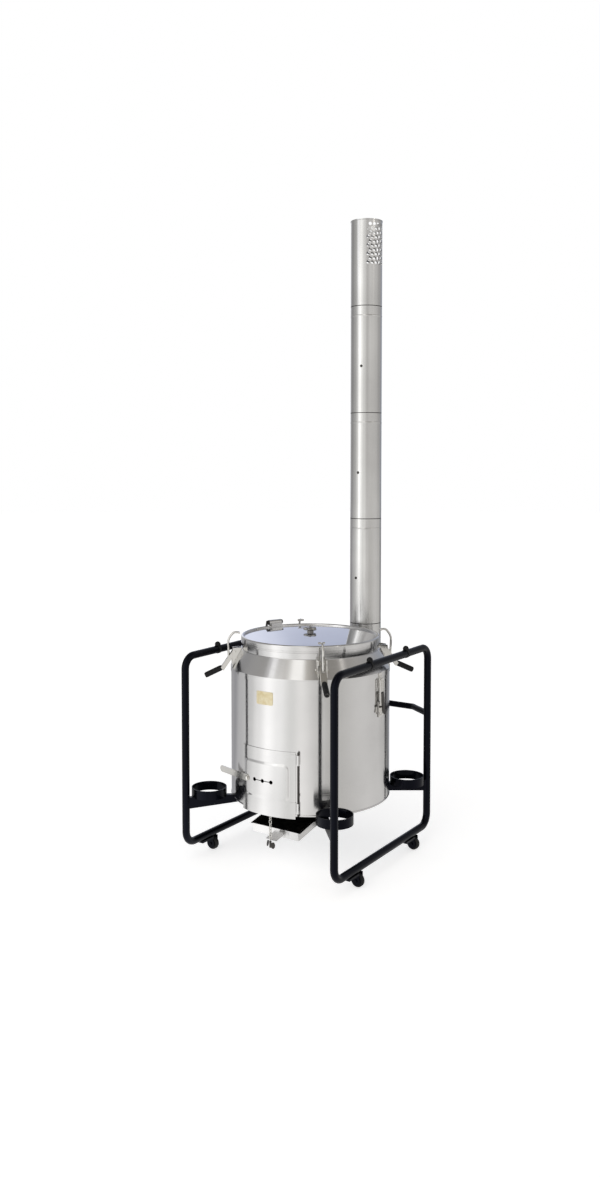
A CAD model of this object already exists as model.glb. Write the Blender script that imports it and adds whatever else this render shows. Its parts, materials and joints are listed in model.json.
import json
from math import asin, atan2, cos, degrees, hypot, pi, radians, sin

import bmesh
import bpy
from mathutils import Matrix, Vector


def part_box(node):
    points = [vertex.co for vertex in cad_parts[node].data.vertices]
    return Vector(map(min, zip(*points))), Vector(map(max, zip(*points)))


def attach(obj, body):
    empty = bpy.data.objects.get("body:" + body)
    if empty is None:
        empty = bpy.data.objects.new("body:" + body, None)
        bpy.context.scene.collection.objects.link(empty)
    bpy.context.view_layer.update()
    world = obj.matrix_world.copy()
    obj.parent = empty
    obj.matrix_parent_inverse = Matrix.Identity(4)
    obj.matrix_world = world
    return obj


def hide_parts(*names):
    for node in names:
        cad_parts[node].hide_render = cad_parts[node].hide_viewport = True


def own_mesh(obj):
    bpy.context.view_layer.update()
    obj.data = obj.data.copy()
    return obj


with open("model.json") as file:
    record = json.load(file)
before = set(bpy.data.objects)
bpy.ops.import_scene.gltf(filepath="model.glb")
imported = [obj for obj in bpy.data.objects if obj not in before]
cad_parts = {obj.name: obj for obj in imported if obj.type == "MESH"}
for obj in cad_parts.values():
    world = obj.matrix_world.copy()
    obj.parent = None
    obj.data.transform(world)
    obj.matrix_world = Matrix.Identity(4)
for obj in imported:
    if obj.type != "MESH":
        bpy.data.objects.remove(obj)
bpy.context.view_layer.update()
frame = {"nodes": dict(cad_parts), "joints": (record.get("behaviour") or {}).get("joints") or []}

# ---------- The view and the studio ----------
# The kettle stands on a seamless white floor. The room round it is brightest to the front
# left, with a grey corner behind, and a tall softbox and two small high lamps add sparkle.

view_from = (2.2639, -3.4864, 1.5842)
view_turn = radians(33.58)
view_dip = radians(2.99)
camera_data = bpy.data.cameras.new("studio camera")
camera_data.lens = 31.455
camera_data.sensor_width = 36
camera_data.shift_y = -0.0608
camera = bpy.data.objects.new("studio camera", camera_data)
camera.location = view_from
camera.rotation_euler = (pi / 2 - view_dip, 0, view_turn)
bpy.context.scene.collection.objects.link(camera)
bpy.context.scene.camera = camera
bpy.context.scene.view_settings.view_transform = "Standard"


def linear(colour):
    """An sRGB hex colour as the linear colour that a shader takes."""
    channels = [int(colour[i:i + 2], 16) / 255 for i in (1, 3, 5)]
    return [c / 12.92 if c <= 0.04045 else ((c + 0.055) / 1.055) ** 2.4 for c in channels] + [1]


def add(tree, kind, inputs=None, **settings):
    """Adds a node with its settings. An input is given as a value or as the socket it is linked to."""
    node = tree.nodes.new(kind)
    for name, value in settings.items():
        setattr(node, name, value)
    for name, value in (inputs or {}).items():
        if isinstance(value, bpy.types.NodeSocket):
            tree.links.new(value, node.inputs[name])
        else:
            node.inputs[name].default_value = value
    return node


def round_ramp(tree, heading, stops):
    """A smooth ramp of colours over headings, from (degrees, hex colour) stops between -180 and 180."""
    ramp = add(tree, "ShaderNodeValToRGB", {"Fac": heading})
    ramp.color_ramp.interpolation = "EASE"
    elements = ramp.color_ramp.elements
    for k, (degrees_round, colour) in enumerate(stops):
        place = (degrees_round + 180) / 360
        stop = elements[k] if k < 2 else elements.new(place)
        stop.position = place
        stop.color = linear(colour)
    return ramp.outputs["Color"]


def heading_of(tree, place):
    """A place's heading round Z as a share of a turn: 0.5 faces the door's side, more is towards +X."""
    way = add(tree, "ShaderNodeSeparateXYZ", {0: place})
    front = add(tree, "ShaderNodeMath", {0: way.outputs["Y"], 1: -1.0}, operation="MULTIPLY")
    turn = add(tree, "ShaderNodeMath", {0: way.outputs["X"], 1: front.outputs[0]}, operation="ARCTAN2")
    return way, add(tree, "ShaderNodeMapRange", {"Value": turn.outputs[0], "From Min": -pi,
                                                 "From Max": pi}).outputs[0]


# Headings in degrees from the door's side. The walls and the floor are brightest to the
# front left, with a grey corner to the back right and a bluish wall behind.
wall_light = [(-180, "#7c7f86"), (180, "#7c7f86"), (-152, "#8a8e9c"), (-146, "#9094a2"),
              (-142, "#aaadb9"), (-136, "#c6c8d0"), (-120, "#8f8f90"), (-92, "#777778"), (-57, "#909090"),
              (-30, "#bababa"), (-7, "#dfdfde"), (14, "#bbbbba"), (37, "#9f9e9d"), (59, "#afaead"),
              (82, "#a9a8a7"), (107, "#a2a1a0"), (138, "#8b8a8a")]
floor_light = [(-180, "#76787c"), (180, "#6a6a6b"), (-118, "#808082"), (-100, "#7c7c7f"),
               (-82, "#9a9a9b"), (-58, "#adadad"), (-42, "#c8c8c8"), (-26, "#e3e3e3"),
               (-10, "#d2d2d2"), (8, "#bcbcbb"), (21, "#c9c8c7"), (43, "#b0afae"), (60, "#9d9c9a"),
               (110, "#adacab"), (135, "#a8a7a6"), (156, "#9c9b9a"), (170, "#5c5c5d")]

room = bpy.data.worlds.new("white studio room")
room.use_nodes = True
tree = room.node_tree
tree.nodes.clear()
way, heading = heading_of(tree, add(tree, "ShaderNodeTexCoord").outputs["Generated"])
walls = round_ramp(tree, heading, wall_light)
ceiling = round_ramp(tree, heading, [
    (-180, "#72757a"), (180, "#72757a"), (-120, "#626262"), (-70, "#686663"), (-45, "#6e6c69"),
    (-26, "#7d7b78"), (-10, "#a4a29f"), (4, "#e0dfdd"), (16, "#e0dfdd"), (28, "#98958f"),
    (46, "#6b6864"), (84, "#686560"), (94, "#85827f"), (104, "#6c6965"), (140, "#6a6865")])
lift = add(tree, "ShaderNodeMapRange", {"Value": way.outputs["Z"], "From Min": 0.35, "From Max": 0.75})
around = add(tree, "ShaderNodeMix", {"Factor": lift.outputs[0], 6: walls, 7: ceiling}, data_type="RGBA")
studio = add(tree, "ShaderNodeBackground", {"Color": around.outputs[2], "Strength": 2.0})
white = add(tree, "ShaderNodeBackground", {"Color": (1, 1, 1, 1), "Strength": 1.0})
seen = add(tree, "ShaderNodeLightPath").outputs["Is Camera Ray"]
backdrop = add(tree, "ShaderNodeMixShader", {0: seen, 1: studio.outputs[0], 2: white.outputs[0]})
add(tree, "ShaderNodeOutputWorld", {"Surface": backdrop.outputs[0]})
bpy.context.scene.world = room

floor_mesh = bpy.data.meshes.new("studio floor")
floor_builder = bmesh.new()
bmesh.ops.create_circle(floor_builder, cap_ends=True, segments=96, radius=30)
floor_builder.to_mesh(floor_mesh)
floor = bpy.data.objects.new("studio floor", floor_mesh)
bpy.context.scene.collection.objects.link(floor)

# Matt white vinyl: it takes a soft shadow, and its own glow lifts the rest to white. Metal
# sees it as bright as the room in that direction.
vinyl = bpy.data.materials.new("matt white vinyl")
vinyl.use_nodes = True
tree = vinyl.node_tree
tree.nodes.clear()
path = add(tree, "ShaderNodeLightPath")
matt = add(tree, "ShaderNodeBsdfDiffuse", {"Color": linear("#e6e6e6")})
to_eye = add(tree, "ShaderNodeMath", {0: path.outputs["Is Camera Ray"], 1: 0.64}, operation="MULTIPLY")
glow = add(tree, "ShaderNodeEmission", {"Color": (1, 1, 1, 1), "Strength": to_eye.outputs[0]})
plain = add(tree, "ShaderNodeAddShader", {0: matt.outputs[0], 1: glow.outputs[0]})
way, heading = heading_of(tree, add(tree, "ShaderNodeTexCoord").outputs["Object"])
lit = add(tree, "ShaderNodeEmission", {"Color": round_ramp(tree, heading, floor_light),
                                       "Strength": 2.0})
both = add(tree, "ShaderNodeMixShader", {0: path.outputs["Is Glossy Ray"], 1: plain.outputs[0],
                                         2: lit.outputs[0]})
add(tree, "ShaderNodeOutputMaterial", {"Surface": both.outputs[0]})
floor_mesh.materials.append(vinyl)


def softbox(name, direction, distance, height, size, watts, colour):
    """A lamp that faces the kettle, at a direction in degrees from the door's side, +X positive."""
    lamp = bpy.data.lights.new(name, "AREA")
    lamp.shape = "RECTANGLE"
    lamp.size, lamp.size_y = size
    lamp.energy = watts
    lamp.color = linear(colour)[:3]
    holder = bpy.data.objects.new(name, lamp)
    turn = radians(direction)
    place = Vector((sin(turn) * distance, -cos(turn) * distance, height))
    holder.location = place
    holder.rotation_euler = (Vector((0, 0, 0.7)) - place).to_track_quat("-Z", "Y").to_euler()
    holder.visible_camera = False
    bpy.context.scene.collection.objects.link(holder)


softbox("key softbox", -22, 3.2, 1.9, (1.2, 2.4), 5, "#ffffff")
softbox("high left lamp", -35, 2.6, 3.2, (0.9, 0.9), 1.2, "#f4f6ff")
softbox("high right lamp", 94, 2.4, 3.4, (0.35, 0.35), 1.4, "#fffaf2")

# ---------- Carrying frame ----------
# Two closed loops of round steel tube, joined at the back by a bent bow, with flat arms
# to the kettle. All welded, then coated together in stoved black enamel.


def material(name, **values):
    """A named material with its surface shader, whose steady values are set on its own sockets."""
    made = bpy.data.materials.new(name)
    made.use_nodes = True
    tree = made.node_tree
    tree.nodes.clear()
    surface = add(tree, "ShaderNodeBsdfPrincipled",
                  {key.replace("_", " "): value for key, value in values.items()})
    add(tree, "ShaderNodeOutputMaterial", {"Surface": surface.outputs[0]})
    return made, tree, surface


def grain(tree, scale, stretch=(1, 1, 1), detail=2.0):
    """Noise in the object's own metres: scale is in grains per metre along an axis with stretch 1."""
    place = add(tree, "ShaderNodeMapping", {"Vector": add(tree, "ShaderNodeTexCoord").outputs["Object"],
                                            "Scale": stretch})
    return add(tree, "ShaderNodeTexNoise", {"Vector": place.outputs[0], "Scale": scale,
                                            "Detail": detail}).outputs[0]


def patches(tree, scale, low, high, detail=2.0, start=0.3, end=0.7, stretch=(1, 1, 1)):
    """Noise that runs from low to high, where start and end are the part of its swing that counts."""
    noise = grain(tree, scale, stretch, detail)
    return add(tree, "ShaderNodeMapRange", {"Value": noise, "From Min": start, "From Max": end,
                                            "To Min": low, "To Max": high}).outputs[0]


def two_tones(tree, scale, first, second, detail=2.0, start=0.3, end=0.7):
    """Patches of two hex colours that run into each other."""
    share = patches(tree, scale, 0, 1, detail, start, end)
    return add(tree, "ShaderNodeMix", {"Factor": share, 6: linear(first), 7: linear(second)},
               data_type="RGBA").outputs[2]


def relief(tree, surface, value, depth_mm, strength=1.0):
    """Bump whose full swing is depth_mm deep."""
    bump = add(tree, "ShaderNodeBump", {"Height": value, "Strength": strength,
                                        "Distance": depth_mm / 1000})
    tree.links.new(bump.outputs[0], surface.inputs["Normal"])


def coat(names, made):
    """Gives CAD nodes a material."""
    for name in names:
        node = frame["nodes"][name]
        node.data.materials.clear()
        node.data.materials.append(made)


def drive(tree, surface, **values):
    """Links the surface's sockets to patterns."""
    for name, value in values.items():
        tree.links.new(value, surface.inputs[name.replace("_", " ")])


# Stoved enamel: deep black, a soft gloss with a faint blue cast, and orange peel of
# about 3 mm that breaks up the highlights along the tubes.
enamel, tree, surface = material("stoved black enamel", Specular_IOR_Level=0.09, Coat_Weight=0.1,
                                  Coat_Roughness=0.07, Specular_Tint=linear("#a9b4ec"))
drive(tree, surface, Base_Color=two_tones(tree, 9, "#030406", "#07080f"),
      Roughness=patches(tree, 14, 0.2, 0.32))
relief(tree, surface, grain(tree, 320), 0.12)
coat(["frame_loop_left", "frame_loop_right", "rear_bow", "castor_brackets",
      "pipe_holder_front_left", "pipe_holder_front_right",
      "pipe_holder_rear_left", "pipe_holder_rear_right"], enamel)


def middle(node):
    """The middle of a CAD node's box."""
    low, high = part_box(node)
    return (low + high) / 2


def piece(name, shape, made, body, slot, *replaced):
    """A finished piece from a mesh or a bmesh, riding on a body and standing for CAD nodes."""
    if isinstance(shape, bmesh.types.BMesh):
        built = bpy.data.meshes.new(name)
        shape.to_mesh(built)
        shape.free()
        shape = built
    shape.name = name
    shape.shade_smooth()
    shape.set_sharp_from_angle(angle=radians(35))
    if made:
        shape.materials.clear()
        shape.materials.append(made)
    thing = bpy.data.objects.new(name, shape)
    bpy.context.scene.collection.objects.link(thing)
    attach(thing, body)
    if replaced:
        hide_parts(*replaced)
    return thing


def turned(outline, segments=64, lobes=0, lobe_depth=0.0):
    """A turned shape about Z from (radius, height) points. One that starts off the axis is a ring.
    Lobes swell and pinch its radius round the axis, as on a star knob."""
    shape = bmesh.new()
    turn = 2 * pi / segments
    loops = []
    for radius, z in outline:
        swell = [1 + lobe_depth * cos(lobes * i * turn) for i in range(segments)]
        loops.append([shape.verts.new((radius * k * cos(i * turn), radius * k * sin(i * turn), z))
                      for i, k in enumerate(swell)])
    pairs = list(zip(loops, loops[1:]))
    if outline[0][0] > 0:
        pairs.append((loops[-1], loops[0]))
    for low, high in pairs:
        for i in range(segments):
            j = (i + 1) % segments
            shape.faces.new((low[i], low[j], high[j], high[i]))
    bmesh.ops.remove_doubles(shape, verts=shape.verts, dist=1e-6)
    bmesh.ops.recalc_face_normals(shape, faces=shape.faces)
    return shape


def eased(points, radius, steps=4):
    """The outline with its inner corners rounded, and its two ends kept."""
    out = [Vector(points[0])]
    for before, corner, after in zip(points, points[1:], points[2:]):
        before, corner, after = Vector(before), Vector(corner), Vector(after)
        reach = min(radius, (before - corner).length / 2.1, (after - corner).length / 2.1)
        start = corner + (before - corner).normalized() * reach
        end = corner + (after - corner).normalized() * reach
        for k in range(steps + 1):
            t = k / steps
            out.append(start * (1 - t) ** 2 + corner * 2 * t * (1 - t) + end * t ** 2)
    return out + [Vector(points[-1])]


def together(*shapes):
    """Several meshes or bmeshes as one bmesh."""
    whole = bmesh.new()
    for shape in shapes:
        mesh = bpy.data.meshes.new("part")
        shape.to_mesh(mesh)
        shape.free()
        whole.from_mesh(mesh)
        bpy.data.meshes.remove(mesh)
    return whole


def along(shape, start, direction):
    """Stands a shape made round +Z at a place, pointing in a direction."""
    turn = Vector(direction).to_track_quat("Z", "X").to_matrix().to_4x4()
    shape.transform(Matrix.Translation(start) @ turn)
    return shape


# ---------- Castors ----------
# Four small solid rubber wheels on pressed discs. Each turns on a plain axle between two
# round cheeks, and a hexagon nut holds the axle on both sides.

# Moulded rubber: matt black, dusty grey where it has rolled, with a fine pebbled skin.
rubber, tree, surface = material("black moulded rubber", Specular_IOR_Level=0.3)
drive(tree, surface, Base_Color=two_tones(tree, 40, "#0e0e0f", "#1c1c1d", 4.0),
      Roughness=patches(tree, 60, 0.5, 0.75))
relief(tree, surface, grain(tree, 900), 0.2)

wheel_low, wheel_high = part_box("castor_wheel_front_left")
wheel_r = (wheel_high.z - wheel_low.z) / 2
wheel_half = (wheel_high.y - wheel_low.y) / 2
tread_groove = 0.0008
nuts = []
for side in ("front_left", "front_right", "rear_left", "rear_right"):
    centre = middle("castor_wheel_" + side)
    tyre = eased([(0.0055, -wheel_half + 0.002), (0.014, -wheel_half + 0.002), (0.016, -wheel_half),
                  (wheel_r - 0.003, -wheel_half), (wheel_r, -wheel_half + 0.004),
                  (wheel_r, -0.002), (wheel_r - tread_groove, -0.001),
                  (wheel_r - tread_groove, 0.001), (wheel_r, 0.002), (wheel_r, wheel_half - 0.004),
                  (wheel_r - 0.003, wheel_half), (0.016, wheel_half), (0.014, wheel_half - 0.002),
                  (0.0055, wheel_half - 0.002)], 0.002)
    piece("castor_tyre_" + side, along(turned(tyre), centre, (0, 1, 0)), rubber,
          "wheel_" + side, "black_rubber", "castor_wheel_" + side)
    for way in (-1, 1):
        nut = turned([(0, 0), (0.0062, 0), (0.0066, 0.001), (0.0066, 0.0035), (0.0058, 0.0045), (0, 0.0045)],
                     segments=6)
        nuts.append(along(nut, centre + Vector((0, way * (wheel_half + 0.0056), 0)), (0, way, 0)))
piece("axle_nuts", together(*nuts), enamel, "frame", "black_enamel")
coat(["rail_buffers"], rubber)

# ---------- Steel of the kettle ----------
# Everything on the kettle is chrome-nickel stainless sheet, rolled and seam welded, with
# the satin that a belt leaves round the barrel.


def stainless(name, pale, dark, rough, grain_mm, stretch, pull=0.0, turn=0.25, wave_mm=0.0):
    """Stainless steel with belt marks. stretch is how the marks run, pull how far they draw out a
    highlight, and wave_mm how far the sheet is out of true."""
    made, tree, surface = material(name, Metallic=1.0, Anisotropic=pull, Anisotropic_Rotation=turn)
    marks = patches(tree, 1000 / grain_mm, -0.03, 0.03, 3.0, stretch=stretch)
    cloud = patches(tree, 5, rough - 0.02, rough + 0.03, 3.0)
    mixed = add(tree, "ShaderNodeMath", {0: marks, 1: cloud}, operation="ADD")
    drive(tree, surface, Base_Color=two_tones(tree, 5, pale, dark, 3.0),
          Roughness=mixed.outputs[0])
    if pull:
        round_z = add(tree, "ShaderNodeTangent", direction_type="RADIAL", axis="Z")
        drive(tree, surface, Tangent=round_z.outputs[0])
    if wave_mm:
        relief(tree, surface, grain(tree, 7, detail=1.0), wave_mm)
    return made


satin = stainless("satin stainless sheet", "#d4d3d2", "#cccbca", 0.16, 4, (0.03, 0.03, 1), 0.85)
pipe_steel = stainless("rolled stainless pipe", "#d0cfcd", "#c5c4c2", 0.18, 4, (1, 1, 0.03), 0.8)
bright = stainless("bright pressed stainless", "#dcdad6", "#cfcdc8", 0.17, 3, (1, 1, 1))
mirror = stainless("mirror polished stainless", "#e2e3e6", "#dcdde0", 0.05, 6, (1, 1, 1), wave_mm=0.5)
tinted = stainless("heat darkened steel", "#5a5855", "#3d3b3a", 0.34, 3, (1, 1, 1))
coat(["outer_jacket", "shoulder_cone", "neck_ring", "inner_pot", "lid_rim",
      "ash_pan"], satin)
coat(["latch_brackets", "side_clasp", "door_latch_bar"], bright)
coat([n for n in frame["nodes"] if n.startswith(("latch_lever", "latch_hook"))], bright)
coat(["lid_dome"], mirror)
coat(["hinge_bracket", "door_hinge_rod"], tinted)

# Burnt steel: black-brown scale from the fire, with paler rubbed spots.
burnt, tree, surface = material("burnt steel", Metallic=0.6, Specular_IOR_Level=0.2)
drive(tree, surface, Base_Color=two_tones(tree, 22, "#100e0d", "#3a3531", 5.0, 0.45, 0.8),
      Roughness=patches(tree, 45, 0.55, 0.85))
coat(["fire_grate", "base_plate"], burnt)

jacket_low, jacket_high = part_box("outer_jacket")
jacket_r = jacket_high.x
edge_beads = []
for z in (jacket_low.z + 0.004, jacket_high.z - 0.005):
    roll = turned(eased([(jacket_r - 0.0005, -0.0040), (jacket_r + 0.0012, -0.0028), (jacket_r + 0.0019, 0),
                         (jacket_r + 0.0012, 0.0028), (jacket_r - 0.0005, 0.0040)], 0.002), 256)
    roll.transform(Matrix.Translation((0, 0, z)))
    edge_beads.append(roll)
piece("jacket_edge_beads", together(*edge_beads), satin, "frame", "satin_steel")

# ---------- Rivets ----------
# Snap-head rivets and small bolts hold the badge, the latch brackets, the clasp and the
# castor plates. Each head is a low dome set on the sheet.


def geometry_tree(name, **inputs):
    """A node group on geometry, with named inputs. Returns it, its input node and the inputs' keys."""
    tree = bpy.data.node_groups.new(name, "GeometryNodeTree")
    tree.interface.new_socket(name="Geometry", in_out="INPUT", socket_type="NodeSocketGeometry")
    keys = {}
    for label, kind in inputs.items():
        made = tree.interface.new_socket(name=label.replace("_", " "), in_out="INPUT",
                                         socket_type="NodeSocket" + kind)
        keys[label] = made.identifier
    tree.interface.new_socket(name="Geometry", in_out="OUTPUT", socket_type="NodeSocketGeometry")
    return tree, add(tree, "NodeGroupInput"), keys


def close_tree(tree, geometry, source):
    """Ends a node group by setting its Material input on the geometry."""
    done = add(tree, "GeometryNodeSetMaterial", {"Geometry": geometry,
                                                 "Material": source.outputs["Material"]})
    add(tree, "NodeGroupOutput", {"Geometry": done.outputs[0]})


def grown(name, seed, tree, keys, values, made, body, slot, *replaced):
    """Runs a node group on a mesh and keeps what it makes as a plain piece."""
    maker = bpy.data.objects.new("maker", seed)
    bpy.context.scene.collection.objects.link(maker)
    rule = maker.modifiers.new("rule", "NODES")
    rule.node_group = tree
    for label, value in dict(values, Material=made).items():
        rule[keys[label]] = value
    bpy.context.view_layer.update()
    result = maker.evaluated_get(bpy.context.evaluated_depsgraph_get())
    mesh = bpy.data.meshes.new_from_object(result)
    maker.modifiers.remove(rule)
    bpy.data.objects.remove(maker)
    return piece(name, mesh, None, body, slot, *replaced)


rivet_tree, source, rivet_keys = geometry_tree("snap head rivets", Head_radius="Float",
                                               Head_height="Float", Material="Material")
ball = add(rivet_tree, "GeometryNodeMeshUVSphere", {"Segments": 16, "Rings": 9,
                                                    "Radius": source.outputs["Head radius"]})
ratio = add(rivet_tree, "ShaderNodeMath", {0: source.outputs["Head height"],
                                           1: source.outputs["Head radius"]}, operation="DIVIDE")
low_dome = add(rivet_tree, "ShaderNodeCombineXYZ", {"X": 1.0, "Y": 1.0, "Z": ratio.outputs[0]})
head = add(rivet_tree, "GeometryNodeTransform", {"Geometry": ball.outputs[0],
                                                 "Scale": low_dome.outputs[0]})
way_out = add(rivet_tree, "GeometryNodeInputNamedAttribute", {"Name": "out"},
              data_type="FLOAT_VECTOR")
facing = add(rivet_tree, "FunctionNodeAlignRotationToVector", {"Vector": way_out.outputs[0]}, axis="Z")
heads = add(rivet_tree, "GeometryNodeInstanceOnPoints", {"Points": source.outputs["Geometry"],
                                                         "Instance": head.outputs[0],
                                                         "Rotation": facing.outputs[0]})
solid = add(rivet_tree, "GeometryNodeRealizeInstances", {"Geometry": heads.outputs[0]})
close_tree(rivet_tree, solid.outputs[0], source)


def rivets(name, spots, radius, height, made, body, slot):
    """Rivet heads at (place, outward direction) spots."""
    seed = bpy.data.meshes.new("spots")
    seed.from_pydata([place for place, _ in spots], [], [])
    outward = seed.attributes.new("out", "FLOAT_VECTOR", "POINT")
    for entry, (_, direction) in zip(outward.data, spots):
        entry.vector = direction
    return grown(name, seed, rivet_tree, rivet_keys, {"Head_radius": radius, "Head_height": height},
                 made, body, slot)


def round_kettle(direction, radius, z):
    """A point round the kettle, direction in degrees from the door's side, and its way out."""
    turn = radians(direction)
    out = Vector((sin(turn), -cos(turn), 0))
    return out * radius + Vector((0, 0, z)), out


# ---------- Badge ----------
# A blank plate of pale matt brass with a raised border, held by a rivet in each corner.

# Brass: lacquered and matt, a little browner where it has been wiped.
brass, tree, surface = material("lacquered pale brass", Metallic=0.35)
drive(tree, surface, Base_Color=two_tones(tree, 60, "#f1e6c6", "#e2d1a2", 4.0),
      Roughness=patches(tree, 120, 0.35, 0.5))
coat(["name_plate"], brass)
badge_low, badge_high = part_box("name_plate")
badge_turn = degrees(asin(badge_high.x / jacket_r))
badge_r = jacket_r + 0.0011
corner_turn = badge_turn * 0.86
corner_z = 0.0055
rivets("badge_rivets", [round_kettle(s * corner_turn, badge_r, z) for s in (-1, 1)
                        for z in (badge_low.z + corner_z, badge_high.z - corner_z)],
       0.0026, 0.0014, brass, "frame", "pale_brass")

# ---------- Fire door ----------
# A curved stainless door with a panel pressed outwards for stiffness, three draught holes
# joined by a slot, two rolled knuckles on a fixed rod, and a flat turning bar on a rivet.

door_low, door_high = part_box("fire_door")
door_dir, door_half = 1.5, 22.5
door_r = jacket_r + 0.0008
sheet_t = 0.002
press_depth, press_width = 0.0034, 0.012
panel_low, panel_high, panel_half = door_low.z + 0.063, door_low.z + 0.209, 0.107
panel_corner = 0.024
panel_shift = -0.008


def pressed(across, z):
    """How far the door's sheet is pressed out at a place."""
    centre_z, half_z = (panel_low + panel_high) / 2, (panel_high - panel_low) / 2
    dx = abs(across - panel_shift) - (panel_half - panel_corner)
    dz = abs(z - centre_z) - (half_z - panel_corner)
    inside = panel_corner - (hypot(max(dx, 0), max(dz, 0)) + min(max(dx, dz), 0))
    t = min(max(inside / press_width, 0), 1)
    return press_depth * t * t * (3 - 2 * t)


def door_sheet(across_steps=128, up_steps=120):
    """The curved sheet with its pressed panel, closed all round."""
    shape = bmesh.new()
    start, end = radians(door_dir - door_half), radians(door_dir + door_half - 1)
    skins = []
    for inner in (0, 1):
        rows = []
        for j in range(up_steps + 1):
            z = door_low.z + (door_high.z - door_low.z) * j / up_steps
            row = []
            for i in range(across_steps + 1):
                turn = start + (end - start) * i / across_steps
                across = (turn - radians(door_dir)) * jacket_r
                radius = door_r + pressed(across, z) + (0 if inner else sheet_t)
                row.append(shape.verts.new((sin(turn) * radius, -cos(turn) * radius, z)))
            rows.append(row)
        skins.append(rows)
        for below, above in zip(rows, rows[1:]):
            for i in range(across_steps):
                shape.faces.new((below[i], below[i + 1], above[i + 1], above[i]))
    outer, inner = skins
    rims = [(outer[0], inner[0]), (outer[-1], inner[-1]),
            ([r[0] for r in outer], [r[0] for r in inner]),
            ([r[-1] for r in outer], [r[-1] for r in inner])]
    for front, back in rims:
        for i in range(len(front) - 1):
            shape.faces.new((front[i], front[i + 1], back[i + 1], back[i]))
    bmesh.ops.recalc_face_normals(shape, faces=shape.faces)
    return shape


draught_z = door_low.z + 0.133
draught_turns = [door_dir - 9.5 + 6.85 * i for i in range(3)]
draught_r = 0.0076
slot_half = 0.0015
rod = next(j for j in frame["joints"] if j["name"] == "fire_door_hinge")["pos_m"]
cutters = []
for turn in draught_turns:
    place, out = round_kettle(turn, door_r - 0.02, draught_z)
    bit = turned([(0, 0), (draught_r, 0), (draught_r, 0.05), (0, 0.05)], 32)
    cutters.append(along(bit, place, out))
for first, last in zip(draught_turns, draught_turns[1:]):
    place, out = round_kettle((first + last) / 2, door_r - 0.02, draught_z)
    slot = bmesh.new()
    bmesh.ops.create_cube(slot, size=1)
    slot.transform(Matrix.Diagonal((slot_half * 2, 0.03, 0.05, 1)))
    cutters.append(along(slot, place + out * 0.025, out))
holes = bpy.data.meshes.new("draught holes")
together(*cutters).to_mesh(holes)
hole_tool = bpy.data.objects.new("draught holes", holes)
bpy.context.scene.collection.objects.link(hole_tool)
knuckle_r, rod_r = 0.006, 0.0038
knuckles = []
for z in (door_low.z + 0.024, door_high.z - 0.048):
    sleeve = eased([(rod_r, 0), (knuckle_r, 0), (knuckle_r, 0.04), (rod_r, 0.04)], 0.001)
    knuckles.append(along(turned(sleeve, 32), (rod[0], rod[1], z), (0, 0, 1)))
    strap = bmesh.new()
    bmesh.ops.create_cube(strap, size=1)
    strap.transform(Matrix.Diagonal((0.022, 0.0016, 0.04, 1)))
    place, out = round_kettle(door_dir + door_half - 2.6, door_r + sheet_t + 0.0006, z + 0.02)
    turn = Matrix.Rotation(radians(door_dir + door_half - 2.6), 4, "Z")
    strap.transform(Matrix.Translation(place) @ turn)
    knuckles.append(strap)
sheet_mesh = bpy.data.meshes.new("door sheet")
door_sheet().to_mesh(sheet_mesh)
blank = bpy.data.objects.new("door blank", sheet_mesh)
bpy.context.scene.collection.objects.link(blank)
punch = blank.modifiers.new("draught holes", "BOOLEAN")
punch.object, punch.solver, punch.use_self = hole_tool, "EXACT", True
bpy.context.view_layer.update()
door_mesh = bpy.data.meshes.new_from_object(blank.evaluated_get(bpy.context.evaluated_depsgraph_get()))
for spare in (blank, hole_tool):
    bpy.data.objects.remove(spare)
piece("fire_door_sheet", door_mesh, satin, "door", "satin_steel", "fire_door")
piece("door_knuckles", together(*knuckles), satin, "door", "satin_steel")
latch_pin = next(j for j in frame["joints"] if j["name"] == "door_latch_turn")["pos_m"]
latch_out = Vector((latch_pin[0], latch_pin[1], 0)).normalized()
rivets("door_latch_rivet", [(Vector(latch_pin) + latch_out * 0.0035, latch_out)], 0.0085, 0.0035, bright,
       "door_latch", "bright_steel")

# ---------- Ash pan ----------
# A folded stainless tray that slides out on its runners. Its inside is matt with soot,
# with a bed of grey ash at the low end, and a short tab sticks out to pull it by.

# Soot: a dead matt black-brown with paler ash dust in it.
soot, tree, surface = material("soot and ash", Roughness=0.95, Specular_IOR_Level=0.1)
drive(tree, surface, Base_Color=two_tones(tree, 55, "#0c0b0a", "#2c2825", 5.0, 0.45, 0.75))
relief(tree, surface, grain(tree, 180, detail=4.0), 1.5)
slide = next(j for j in frame["joints"] if j["name"] == "ash_pan_slide")["axis"]
slope = atan2(-slide[2], -slide[1])
pan_low, pan_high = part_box("ash_pan")
pan_wall, pan_depth, pan_length, pan_flange = 0.0015, 0.034, 0.255, 0.009
tab_length = 0.032
pan_width = pan_high.x - pan_low.x - 2 * pan_flange
pan_x = (pan_low.x + pan_high.x) / 2
front_bottom = Vector((pan_x, pan_low.y + tab_length * cos(slope), pan_low.z + tab_length * sin(slope)))


def in_pan(x, y, z):
    """A point given from the middle of the pan's front bottom edge, along its slope."""
    return front_bottom + Vector((x, y * cos(slope) - z * sin(slope), y * sin(slope) + z * cos(slope)))


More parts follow.
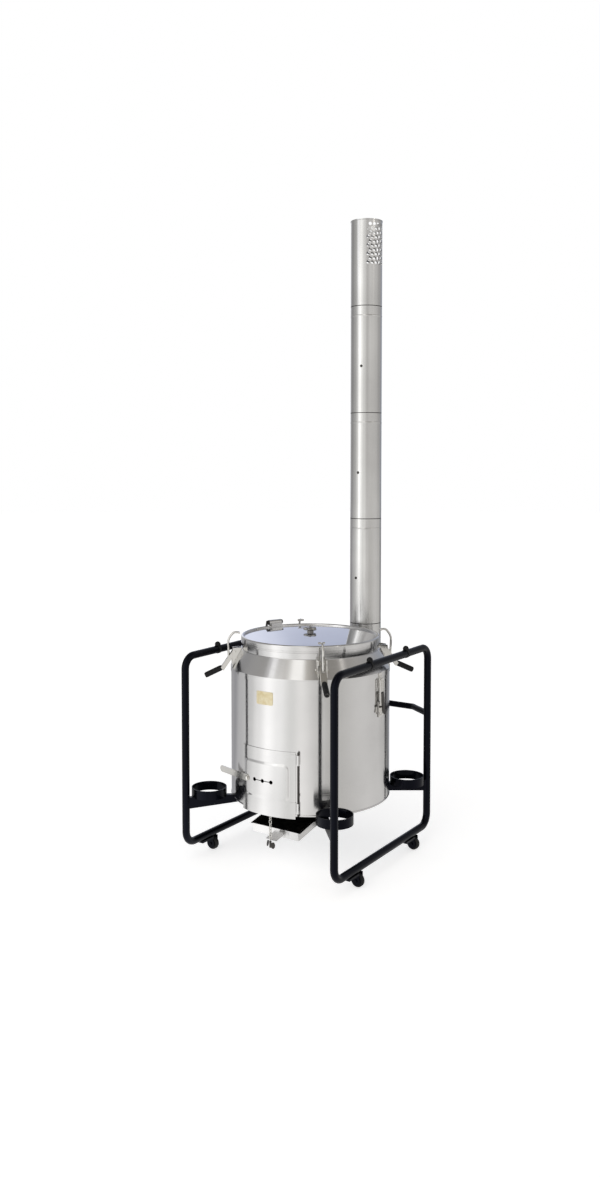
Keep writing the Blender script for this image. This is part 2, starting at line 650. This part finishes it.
lining = bmesh.new()
skin = pan_wall + 0.0004
inside = []
for z in (pan_depth - 0.002, skin):
    inside.append([lining.verts.new(in_pan(x, y, z)) for x, y in (
        (-pan_width / 2 + skin, skin), (pan_width / 2 - skin, skin),
        (pan_width / 2 - skin, pan_length - skin), (-pan_width / 2 + skin, pan_length - skin))])
for i in range(4):
    j = (i + 1) % 4
    lining.faces.new((inside[0][i], inside[0][j], inside[1][j], inside[1][i]))
bed = lining.faces.new(inside[1])
bmesh.ops.subdivide_edges(lining, edges=list(bed.edges), cuts=24, use_grid_fill=True)
bmesh.ops.recalc_face_normals(lining, faces=lining.faces)
bmesh.ops.reverse_faces(lining, faces=lining.faces)
piece("ash_pan_soot", lining, soot, "pan", "cast_grate")

# ---------- Clip and chain ----------
# A short chain of welded links hangs from the kettle's floor and ends in a wing clip
# that pins the pan. As the pan slides out the chain gathers above it.

link_tree, source, link_keys = geometry_tree("welded links", Count="Int", Pitch="Float",
                                             Wire_radius="Float", Material="Material")
pitch_down = add(link_tree, "ShaderNodeMath", {0: source.outputs["Pitch"], 1: -1.0},
                 operation="MULTIPLY")
step = add(link_tree, "ShaderNodeCombineXYZ", {"Z": pitch_down.outputs[0]})
line = add(link_tree, "GeometryNodeMeshLine", {"Count": source.outputs["Count"],
                                               "Offset": step.outputs[0]})
loop_size = add(link_tree, "ShaderNodeMath", {0: source.outputs["Pitch"], 1: 0.72},
                operation="MULTIPLY")
loop = add(link_tree, "GeometryNodeCurvePrimitiveCircle", {"Resolution": 16,
                                                           "Radius": loop_size.outputs[0]})
stand = add(link_tree, "GeometryNodeTransform", {"Geometry": loop.outputs[0],
                                                 "Rotation": (pi / 2, 0, 0), "Scale": (0.6, 1.0, 1.0)})
wire = add(link_tree, "GeometryNodeCurvePrimitiveCircle", {"Resolution": 8,
                                                           "Radius": source.outputs["Wire radius"]})
link = add(link_tree, "GeometryNodeCurveToMesh", {"Curve": stand.outputs[0],
                                                  "Profile Curve": wire.outputs[0]})
turn_by = add(link_tree, "ShaderNodeMath", {0: add(link_tree, "GeometryNodeInputIndex").outputs[0],
                                            1: pi / 2}, operation="MULTIPLY")
crossed = add(link_tree, "ShaderNodeCombineXYZ", {"Z": turn_by.outputs[0]})
hung = add(link_tree, "GeometryNodeInstanceOnPoints", {"Points": line.outputs[0],
                                                       "Instance": link.outputs[0],
                                                       "Rotation": crossed.outputs[0]})
solid = add(link_tree, "GeometryNodeRealizeInstances", {"Geometry": hung.outputs[0]})
close_tree(link_tree, solid.outputs[0], source)
chain_low, chain_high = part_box("clip_chain")
chain_x, chain_y = ((chain_low + chain_high) / 2).xy
pitch, wire_r, link_count = 0.0125, 0.0014, 8
chain = grown("pan_chain", bpy.data.meshes.new("seed"), link_tree, link_keys,
              {"Count": link_count, "Pitch": pitch, "Wire_radius": wire_r}, bright, "frame",
              "bright_steel")
chain_top = Vector((chain_x, chain_y, chain_high.z - pitch * 0.75))
chain.data.transform(Matrix.Translation(chain_top))
wings = []
for way in (-1, 1):
    wing = turned(eased([(0, -0.0015), (0.0105, -0.0015), (0.0105, 0.0015), (0, 0.0015)], 0.001), 24)
    wing.transform(Matrix.Diagonal((1.15, 0.8, 1, 1)))
    wings.append(along(wing, (chain_x + way * 0.0135, chain_y - way * 0.002,
                              chain_low.z + 0.0155 - way * 0.002),
                       (way * 0.75, -1, 0.25)))
barrel = turned(eased([(0, 0), (0.0045, 0), (0.0045, 0.026), (0, 0.026)], 0.001), 24)
wings.append(along(barrel, (chain_x, chain_y, chain_low.z + 0.003), (0, 0, 1)))
clip = piece("wing_clip", together(*wings), tinted, "frame", "bright_steel", "clip_chain")
for soft in (chain, clip):
    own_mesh(soft)

# ---------- Latches ----------
# Four draw latches pull the lid down. A folded plate on the shoulder carries the pivot, a
# pressed channel with a black rubber grip is the lever, and a bent rod hooks over the rim.


def tube(points, radius, ease=0.0, segments=12, steps=8):
    """A round rod along a line of points, with its bends eased."""
    path = eased(points, ease, steps) if ease else [Vector(point) for point in points]
    shape = bmesh.new()
    rings = []
    side = None
    for k, place in enumerate(path):
        ahead = (path[min(k + 1, len(path) - 1)] - path[max(k - 1, 0)]).normalized()
        side = (side - ahead * side.dot(ahead)).normalized() if side else ahead.orthogonal().normalized()
        other = ahead.cross(side)
        rings.append([shape.verts.new(place + radius * (cos(t) * side + sin(t) * other))
                      for t in (2 * pi * i / segments for i in range(segments))])
    for low, high in zip(rings, rings[1:]):
        for i in range(segments):
            j = (i + 1) % segments
            shape.faces.new((low[i], low[j], high[j], high[i]))
    shape.faces.new(rings[0])
    shape.faces.new(rings[-1])
    bmesh.ops.recalc_face_normals(shape, faces=shape.faces)
    return shape


def plate(corners, across, middle_at, thick):
    """A flat plate from its corners, thick along a direction and centred at an offset along it."""
    shape = bmesh.new()
    sides = [[shape.verts.new(Vector(corner) + across * (middle_at + s * thick / 2)) for corner in corners]
             for s in (-1, 1)]
    shape.faces.new(sides[0])
    shape.faces.new(sides[1])
    for i in range(len(corners)):
        j = (i + 1) % len(corners)
        shape.faces.new((sides[0][i], sides[0][j], sides[1][j], sides[1][i]))
    bmesh.ops.recalc_face_normals(shape, faces=shape.faces)
    return shape


lever_run, lever_half, lever_sheet = Vector((0.047, -0.070)), 0.0105, 0.0034
hook_rod_r, hook_bar_r, hook_bar_half = 0.0044, 0.0042, 0.0132
hook_knee, hook_over = Vector((0.028, 0.046)), Vector((0.0049, 0.0759))
hook_tip = Vector((-0.0171, 0.0739))
grip_from, grip_run, grip_r = Vector((0.0515, -0.0659)), Vector((0.0690, -0.0314)), 0.0112
joints = {joint["name"]: joint for joint in frame["joints"]}
bolt_spots = []
for side in ("front_left", "front_right", "rear_left", "rear_right"):
    pivot = Vector(joints["latch_" + side]["pos_m"])
    pin = Vector(joints["hook_" + side]["pos_m"])
    out = Vector((pivot.x, pivot.y, 0)).normalized()
    across = Vector((-out.y, out.x, 0))
    up = Vector((0, 0, 1))
    u = (out * lever_run.x + up * lever_run.y).normalized()
    n = out * -u.z + up * u.dot(out)
    end = pivot + out * lever_run.x + up * lever_run.y
    outline = [pivot - u * 0.009 - n * 0.008, pivot - u * 0.009 + n * 0.009, end + u * 0.002 + n * 0.011,
               end + u * 0.006 - n * 0.005, pin - n * 0.010]
    web = [pivot + u * 0.044 + n * 0.009, pivot + u * 0.044 + n * 0.011, end + u * 0.002 + n * 0.0112,
           end + u * 0.002 + n * 0.009]
    neck = tube([end - u * 0.006 + n * 0.002, pivot + out * grip_from.x + up * grip_from.y
                 + (out * grip_run.x + up * grip_run.y) * 0.1], 0.0062)
    channel = together(plate(outline, across, -lever_half, lever_sheet),
                       plate(outline, across, lever_half, lever_sheet),
                       plate(web, across, 0, lever_half * 2), neck)
    piece("latch_channel_" + side, channel, bright, "latch_" + side, "bright_steel")
    start = pivot + out * grip_from.x + up * grip_from.y
    run = out * grip_run.x + up * grip_run.y
    l = run.length
    sleeve = eased([(0, 0), (grip_r - 0.001, 0), (grip_r - 0.001, 0.006), (grip_r, 0.007),
                    (grip_r, l - 0.006), (grip_r - 0.0015, l - 0.001), (grip_r - 0.004, l), (0, l)], 0.002)
    piece("latch_grip_" + side, along(turned(sleeve, 40), start, run), rubber, "latch_" + side,
          "black_rubber")
    knee = pivot + out * hook_knee.x + up * hook_knee.y
    over = pivot + out * hook_over.x + up * hook_over.y
    tip = pivot + out * hook_tip.x + up * hook_tip.y
    eye = along(turned(eased([(0.0034, -0.005), (0.0066, -0.005), (0.0066, 0.005), (0.0034, 0.005)],
                             0.001), 32), pin, across)
    hook = together(tube([pin, knee, over, tip], hook_rod_r, 0.03), eye,
                    tube([tip - across * hook_bar_half, tip + across * hook_bar_half], hook_bar_r))
    piece("latch_rod_" + side, hook, bright, "hook_" + side, "bright_steel", "latch_hook_" + side)
    slope = (up * 0.846 - out * 0.532).normalized()
    away = (out * 0.846 + up * 0.532).normalized()
    seat = pivot - away * 0.0205 - slope * 0.018
    flat = [seat + across * x + slope * y for x, y in ((-0.028, -0.016), (0.028, -0.016),
                                                       (0.028, 0.022), (-0.028, 0.022))]
    piece("latch_seat_" + side, plate(flat, away, 0.0, 0.0036), bright, "frame", "bright_steel")
    for way in (-1, 1):
        bolt_spots.append((pivot + across * way * 0.0190, across * way))
        bolt_spots.append((seat + across * way * 0.023 + away * 0.0018, away))
rivets("latch_rivet_heads", bolt_spots, 0.0042, 0.0024, bright, "frame", "bright_steel")

# ---------- Side clasp ----------
# A toggle clasp closes the jacket's seam on the right: two riveted straps, a thumb lever
# and a wire loop drawn over a hook.

clasp_low, clasp_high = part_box("side_clasp")
clasp_z = clasp_low.z
wire_at = jacket_r + 0.0115
wire_half = 0.0135
loop_wire = tube([(wire_at, -wire_half, clasp_z + 0.040), (wire_at, -wire_half, clasp_z + 0.150),
                  (wire_at, wire_half, clasp_z + 0.150), (wire_at, wire_half, clasp_z + 0.040)],
                 0.0024, 0.008)
lower_loop = tube([(wire_at, -0.010, clasp_z + 0.064), (wire_at + 0.004, -0.010, clasp_z + 0.018),
                   (wire_at + 0.004, 0.010, clasp_z + 0.018), (wire_at, 0.010, clasp_z + 0.064)],
                  0.0024, 0.006)
thumb = plate([(wire_at + 0.001, 0, clasp_z + 0.100), (wire_at + 0.004, 0, clasp_z + 0.098),
               (wire_at + 0.010, 0, clasp_z + 0.030), (wire_at + 0.015, 0, clasp_z + 0.016),
               (wire_at + 0.013, 0, clasp_z + 0.014), (wire_at + 0.007, 0, clasp_z + 0.028)],
              Vector((0, 1, 0)), 0, 0.017)
barrel = tube([(wire_at, -0.017, clasp_z + 0.044), (wire_at, 0.017, clasp_z + 0.044)], 0.0046)
piece("clasp_wires", together(loop_wire, lower_loop), bright, "frame", "bright_steel")
piece("clasp_lever", together(thumb, barrel), tinted, "frame", "dark_steel")
clasp_spots = [(Vector((jacket_r + 0.0048, y, clasp_z + z)), Vector((1, 0, 0)))
               for y in (-0.006, 0.006) for z in (0.008, 0.128, 0.162)]
rivets("clasp_rivets", clasp_spots, 0.003, 0.002, bright, "frame", "bright_steel")

# ---------- Lid fittings ----------
# A star knob on a short stem works the steam valve in the middle of the mirror-polished
# dome. It is cast in aluminium, on a hexagon foot.

cast = stainless("cast aluminium", "#a9a7a4", "#8f8d8a", 0.3, 2, (1, 1, 1))
lid_low, lid_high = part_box("lid_dome")
foot_z = lid_high.z
foot = turned(eased([(0, 0), (0.0145, 0), (0.0152, 0.001), (0.0152, 0.004), (0.014, 0.005), (0, 0.005)],
                    0.0006), 6)
stem = turned(eased([(0, 0.004), (0.0085, 0.004), (0.0085, 0.009), (0, 0.009)], 0.001), 40)
star = turned(eased([(0, 0.007), (0.012, 0.007), (0.019, 0.0075), (0.0235, 0.010), (0.0235, 0.0165),
                     (0.019, 0.0195), (0.011, 0.0200), (0, 0.0200)], 0.002), 120, 5, 0.2)
crown = turned(eased([(0, 0.0195), (0.0048, 0.0195), (0.0048, 0.024), (0.003, 0.026), (0, 0.026)],
                     0.0012), 32)
knob = together(foot, stem, star, crown)
knob.transform(Matrix.Translation((0, 0, foot_z)))
piece("steam_valve_knob", knob, cast, "lid", "bright_steel", "steam_valve")

# ---------- Chimney ----------
# Rolled and seam-welded pipes that plug into each other, each with a faint swage below
# its joint and a dark clip rivet. Staggered holes let smoke out on one side of the top.

coat(["flue_elbow", "chimney_section_1", "chimney_section_2", "chimney_section_3"], pipe_steel)
pipe_low, pipe_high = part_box("chimney_section_1")
pipe_r = (pipe_high.x - pipe_low.x) / 2
axis_x, axis_y = ((pipe_low + pipe_high) / 2).xy
swage_z = 0.04
swage_h = 0.004
beads = []
clip_spots = []
for node, direction in (("chimney_section_1", -8), ("chimney_section_2", 0), ("chimney_section_3", 12)):
    low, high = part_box(node)
    turn = radians(direction)
    out = Vector((sin(turn), -cos(turn), 0))
    clip_spots.append((Vector((axis_x, axis_y, low.z + 0.24)) + out * pipe_r, out))
    bead = turned(eased([(pipe_r - 0.0005, -swage_h), (pipe_r + 0.0004, -swage_h / 2),
                         (pipe_r + 0.0011, 0), (pipe_r + 0.0004, swage_h / 2),
                         (pipe_r - 0.0005, swage_h)], 0.002), 96)
    bead.transform(Matrix.Translation((axis_x, axis_y, high.z - swage_z)))
    beads.append(bead)
piece("pipe_swages", together(*beads), pipe_steel, "frame", "satin_steel")
seams = []
for node in ("chimney_section_1", "chimney_section_2", "chimney_section_3", "chimney_top"):
    foot_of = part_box(node)[0].z + 0.04
    seam = turned([(pipe_r - 0.0013, 0.0002), (pipe_r - 0.0004, 0.0002), (pipe_r - 0.0004, 0.0028),
                   (pipe_r - 0.0013, 0.0028)], 96)
    seam.transform(Matrix.Translation((axis_x, axis_y, foot_of)))
    seams.append(seam)
piece("pipe_joint_soot", together(*seams), burnt, "frame", "dark_steel")
rivets("pipe_clip_rivets", clip_spots, 0.006, 0.004, tinted, "frame", "dark_steel")

top_low, top_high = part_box("chimney_top")
hole_tree, source, hole_keys = geometry_tree(
    "staggered smoke holes", Columns="Int", Rows="Int", Hole_radius="Float", Row_step="Float",
    First_height="Float", First_turn="Float", Turn_step="Float", Pipe_radius="Float",
    Axis="Vector", Material="Material")


wide = add(hole_tree, "ShaderNodeMath", {0: source.outputs["Columns"], 1: 1.0},
           operation="SUBTRACT").outputs[0]
tall = add(hole_tree, "ShaderNodeMath", {0: source.outputs["Rows"], 1: 1.0},
           operation="SUBTRACT").outputs[0]
half_wide = add(hole_tree, "ShaderNodeMath", {0: wide, 1: 0.5}, operation="MULTIPLY").outputs[0]
half_tall = add(hole_tree, "ShaderNodeMath", {0: tall, 1: 0.5}, operation="MULTIPLY").outputs[0]
field = add(hole_tree, "GeometryNodeMeshGrid", {"Size X": wide, "Size Y": tall,
                                                "Vertices X": source.outputs["Columns"],
                                                "Vertices Y": source.outputs["Rows"]})
at = add(hole_tree, "GeometryNodeInputPosition").outputs[0]
spot = add(hole_tree, "ShaderNodeSeparateXYZ", {0: at})
column = add(hole_tree, "ShaderNodeMath", {0: spot.outputs["X"], 1: half_wide},
             operation="ADD").outputs[0]
up = add(hole_tree, "ShaderNodeMath", {0: spot.outputs["Y"], 1: half_tall},
         operation="ADD").outputs[0]
row = add(hole_tree, "ShaderNodeMath", {0: up}, operation="ROUND").outputs[0]
odd_row = add(hole_tree, "ShaderNodeMath", {0: row, 1: 2.0}, operation="MODULO").outputs[0]
half_step = add(hole_tree, "ShaderNodeMath", {0: odd_row, 1: 0.5}, operation="MULTIPLY").outputs[0]
steps_round = add(hole_tree, "ShaderNodeMath", {0: column, 1: half_step},
                  operation="ADD").outputs[0]
turn_round = add(hole_tree, "ShaderNodeMath", {0: steps_round, 1: source.outputs["Turn step"]},
                 operation="MULTIPLY").outputs[0]
turned_by = add(hole_tree, "ShaderNodeMath", {0: source.outputs["First turn"], 1: turn_round},
                operation="ADD").outputs[0]
out_x = add(hole_tree, "ShaderNodeMath", {0: turned_by}, operation="COSINE").outputs[0]
out_y = add(hole_tree, "ShaderNodeMath", {0: turned_by}, operation="SINE").outputs[0]
out_way = add(hole_tree, "ShaderNodeCombineXYZ", {"X": out_x, "Y": out_y})
rise = add(hole_tree, "ShaderNodeMath", {0: row, 1: source.outputs["Row step"]},
           operation="MULTIPLY").outputs[0]
level = add(hole_tree, "ShaderNodeMath", {0: source.outputs["First height"], 1: rise},
            operation="ADD").outputs[0]
on_pipe_x = add(hole_tree, "ShaderNodeMath", {0: out_x, 1: source.outputs["Pipe radius"]},
                operation="MULTIPLY").outputs[0]
on_pipe_y = add(hole_tree, "ShaderNodeMath", {0: out_y, 1: source.outputs["Pipe radius"]},
                operation="MULTIPLY").outputs[0]
spot_on_pipe = add(hole_tree, "ShaderNodeCombineXYZ", {"X": on_pipe_x, "Y": on_pipe_y, "Z": level})
placed = add(hole_tree, "ShaderNodeVectorMath", {0: spot_on_pipe.outputs[0],
                                                 1: source.outputs["Axis"]}, operation="ADD")
kept = add(hole_tree, "GeometryNodeStoreNamedAttribute", {"Geometry": field.outputs[0], "Name": "out",
                                                          "Value": out_way.outputs[0]},
           data_type="FLOAT_VECTOR", domain="POINT")
moved = add(hole_tree, "GeometryNodeSetPosition", {"Geometry": kept.outputs[0],
                                                   "Position": placed.outputs[0]})
punch = add(hole_tree, "GeometryNodeMeshCylinder", {"Vertices": 16, "Depth": 0.012,
                                                    "Radius": source.outputs["Hole radius"]})
aim = add(hole_tree, "FunctionNodeAlignRotationToVector", {
    "Vector": add(hole_tree, "GeometryNodeInputNamedAttribute", {"Name": "out"},
                  data_type="FLOAT_VECTOR").outputs[0]}, axis="Z")
punches = add(hole_tree, "GeometryNodeInstanceOnPoints", {"Points": moved.outputs[0],
                                                          "Instance": punch.outputs[0],
                                                          "Rotation": aim.outputs[0]})
solid = add(hole_tree, "GeometryNodeRealizeInstances", {"Geometry": punches.outputs[0]})
pierced = add(hole_tree, "GeometryNodeMeshBoolean", {0: source.outputs["Geometry"]},
              operation="DIFFERENCE")
hole_tree.links.new(solid.outputs[0], pierced.inputs[1])
close_tree(hole_tree, pierced.outputs[0], source)

pipe_wall, spigot, groove = 0.001, 0.04, 0.003
spigot_r = pipe_r - pipe_wall - 0.0003
seat_z = top_low.z + spigot
top_outline = [(spigot_r - pipe_wall, top_low.z), (spigot_r, top_low.z), (spigot_r, seat_z + groove),
               (pipe_r, seat_z + groove), (pipe_r, top_high.z - 0.005),
               (pipe_r + 0.0015, top_high.z - 0.004), (pipe_r + 0.0015, top_high.z),
               (pipe_r - pipe_wall, top_high.z), (pipe_r - pipe_wall, seat_z + groove + 0.002),
               (spigot_r - pipe_wall, seat_z + groove + 0.002)]
top_pipe = bpy.data.meshes.new("top pipe")
shape = turned(top_outline, 128)
shape.transform(Matrix.Translation((axis_x, axis_y, 0)))
shape.to_mesh(top_pipe)
hole_rows, hole_columns, row_step = 10, 12, 0.0179
grown("pierced_chimney_top", top_pipe, hole_tree, hole_keys,
      {"Columns": hole_columns, "Rows": hole_rows, "Hole_radius": 0.0072, "Row_step": row_step,
       "First_height": top_high.z - 0.022 - row_step * (hole_rows - 1), "First_turn": radians(-55),
       "Turn_step": radians(16.4), "Pipe_radius": pipe_r, "Axis": (axis_x, axis_y, 0)},
      pipe_steel, "frame", "satin_steel", "chimney_top")
